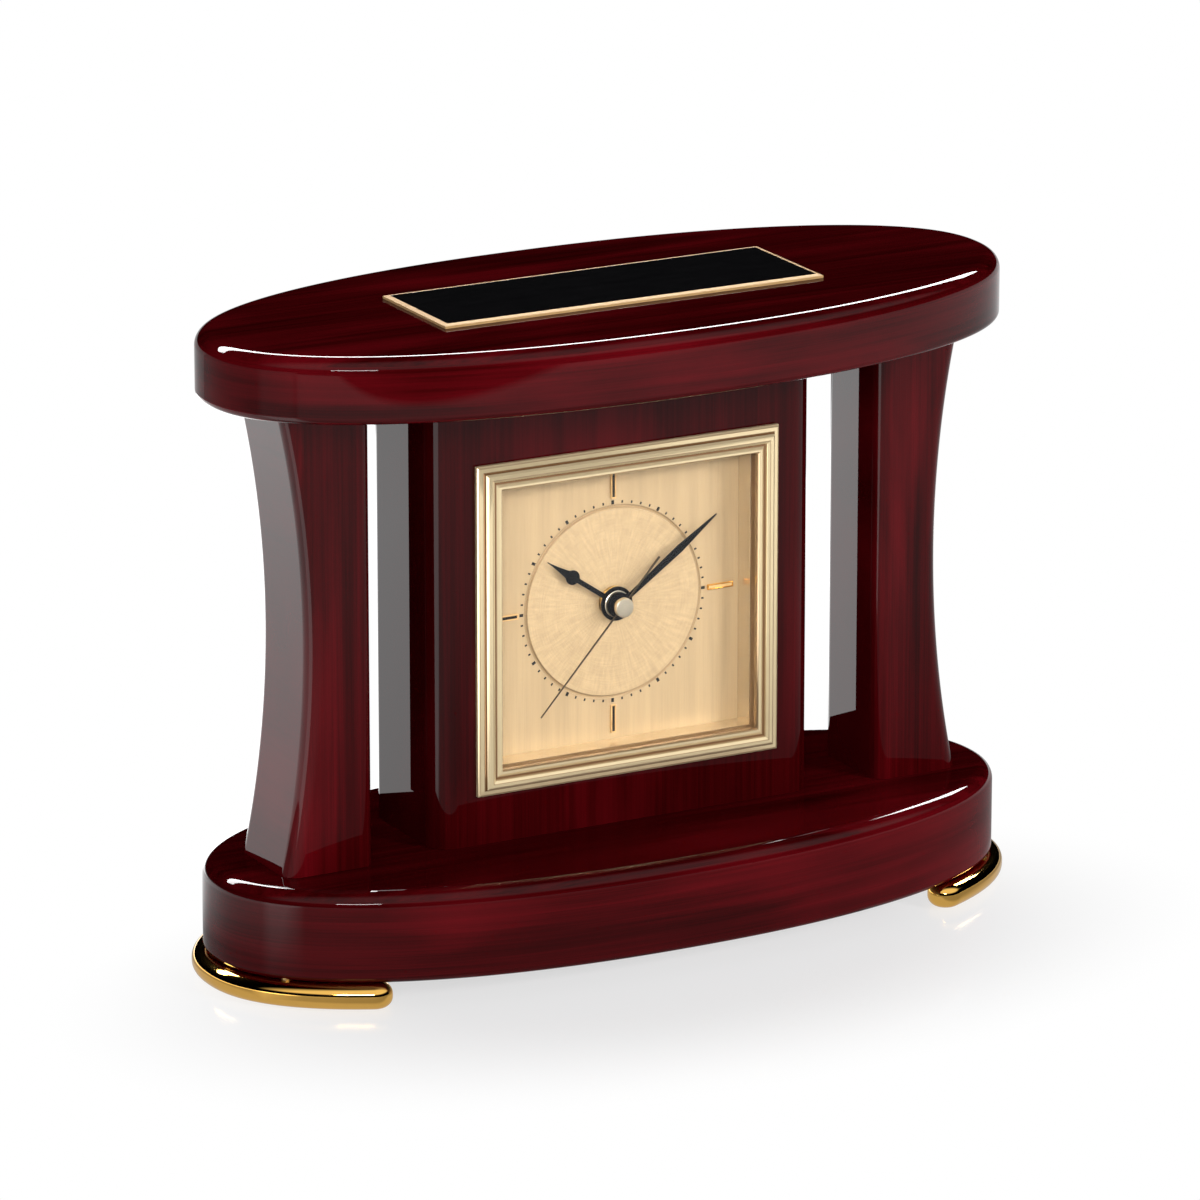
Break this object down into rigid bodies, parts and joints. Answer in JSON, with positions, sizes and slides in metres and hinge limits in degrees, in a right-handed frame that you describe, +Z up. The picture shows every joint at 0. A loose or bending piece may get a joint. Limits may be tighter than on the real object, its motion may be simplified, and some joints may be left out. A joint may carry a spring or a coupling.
{
  "type": "award clock",
  "caption": "Desk award clock: square quartz dial in a lacquered wooden case between two oval plates, waisted side columns, bare name plate on top, crescent metal feet.",
  "frame": {"origin": "centre of the footprint, on the surface that the feet stand on", "axes": "+Z up, the dial faces -Y, +X to the right as seen from the front"},
  "size_m": [0.179, 0.0762, 0.1323],
  "materials": {
    "lacquer": "rosewood veneer under high-gloss red-brown lacquer",
    "gold": "polished and gold plated",
    "champagne": "pale gold plate, polished on the bezel and brushed on the dial",
    "black_plate": "black lacquered field inside a bare pale gold border",
    "black_paint": "black satin paint",
    "glass": "clear, polished, with a bevelled edge",
    "seal": "matte black",
    "black_plastic": "finely textured moulding",
    "white_plastic": "moulded acetal",
    "steel": "zinc plated",
    "brass": "polished",
    "copper": "enamelled copper wire",
    "board": "green solder resist",
    "cell": "plain dark jacket",
    "beech": "bare turned dowel"
  },
  "bodies": {
    "clock_body": {"base_plate": "lacquer", "top_plate": "lacquer", "left_column": "lacquer", "right_column": "lacquer", "clock_case": "lacquer", "left_foot": "gold", "right_foot": "gold", "name_plate": "black_plate", "base_screw_left_front": "steel", "base_screw_left_rear": "steel", "base_screw_right_front": "steel", "base_screw_right_rear": "steel", "base_screw_case_left": "steel", "base_screw_case_right": "steel", "foot_screw_left_front": "brass", "foot_screw_left_rear": "brass", "foot_screw_right_front": "brass", "foot_screw_right_rear": "brass", "dowel_left_front": "beech", "dowel_left_rear": "beech", "dowel_right_front": "beech", "dowel_right_rear": "beech", "bezel": "champagne", "crystal": "glass", "crystal_gasket": "seal", "dial_surround": "champagne", "dial": "champagne", "marker_12": "gold", "marker_3": "gold", "marker_6": "gold", "marker_9": "gold", "dial_washer": "brass", "shaft_nut": "brass", "front_housing": "black_plastic", "rear_housing": "black_plastic", "middle_plate": "white_plastic", "stator": "steel", "coil_core": "steel", "motor_coil": "copper", "circuit_board": "board", "quartz_crystal": "steel", "battery": "cell", "contact_plus": "steel", "contact_minus": "steel"},
    "second_arbor": {"second_hand": "brass", "hand_cap": "brass", "second_wheel": "white_plastic"},
    "intermediate_arbor": {"intermediate_wheel": "white_plastic"},
    "rotor_arbor": {"rotor": "black_plastic"},
    "third_arbor": {"third_wheel": "white_plastic"},
    "centre_arbor": {"centre_wheel": "brass"},
    "minute_arbor": {"minute_hand": "black_paint", "cannon_pinion": "brass"},
    "minute_wheel_arbor": {"minute_wheel": "white_plastic"},
    "hour_arbor": {"hour_hand": "black_paint", "hour_wheel": "brass"},
    "knob_shaft": {"set_knob": "black_plastic"}
  },
  "joints": [
    {"name": "second_turn", "type": "hinge", "parent": "clock_body", "child": "second_arbor", "pos_m": [0, 0, 0.0678], "axis": [0, 1, 0], "continuous": true},
    {"name": "intermediate_turn", "type": "hinge", "parent": "clock_body", "child": "intermediate_arbor", "pos_m": [-0.00205, 0, 0.07344], "axis": [0, 1, 0], "continuous": true},
    {"name": "rotor_turn", "type": "hinge", "parent": "clock_body", "child": "rotor_arbor", "pos_m": [-0.00108, 0, 0.07895], "axis": [0, 1, 0], "continuous": true},
    {"name": "third_turn", "type": "hinge", "parent": "clock_body", "child": "third_arbor", "pos_m": [0.00564, 0, 0.06985], "axis": [0, 1, 0], "continuous": true},
    {"name": "centre_turn", "type": "hinge", "parent": "clock_body", "child": "centre_arbor", "pos_m": [0, 0, 0.0678], "axis": [0, 1, 0], "continuous": true},
    {"name": "minute_turn", "type": "hinge", "parent": "clock_body", "child": "minute_arbor", "pos_m": [0, 0, 0.0678], "axis": [0, 1, 0], "continuous": true},
    {"name": "minute_wheel_turn", "type": "hinge", "parent": "clock_body", "child": "minute_wheel_arbor", "pos_m": [-0.00665, 0, 0.07164], "axis": [0, 1, 0], "continuous": true},
    {"name": "hour_turn", "type": "hinge", "parent": "clock_body", "child": "hour_arbor", "pos_m": [0, 0, 0.0678], "axis": [0, 1, 0], "continuous": true},
    {"name": "knob_turn", "type": "hinge", "parent": "clock_body", "child": "knob_shaft", "pos_m": [-0.01049, 0, 0.07829], "axis": [0, 1, 0], "continuous": true}
  ],
  "couplings": [
    {"joint": "intermediate_turn", "follows": "second_turn", "ratio": -5},
    {"joint": "rotor_turn", "follows": "second_turn", "ratio": 30},
    {"joint": "third_turn", "follows": "second_turn", "ratio": -0.13333},
    {"joint": "centre_turn", "follows": "second_turn", "ratio": 0.016667},
    {"joint": "minute_wheel_turn", "follows": "minute_turn", "ratio": -0.33333},
    {"joint": "hour_turn", "follows": "minute_turn", "ratio": 0.083333},
    {"joint": "knob_turn", "follows": "minute_turn", "ratio": 1}
  ]
}
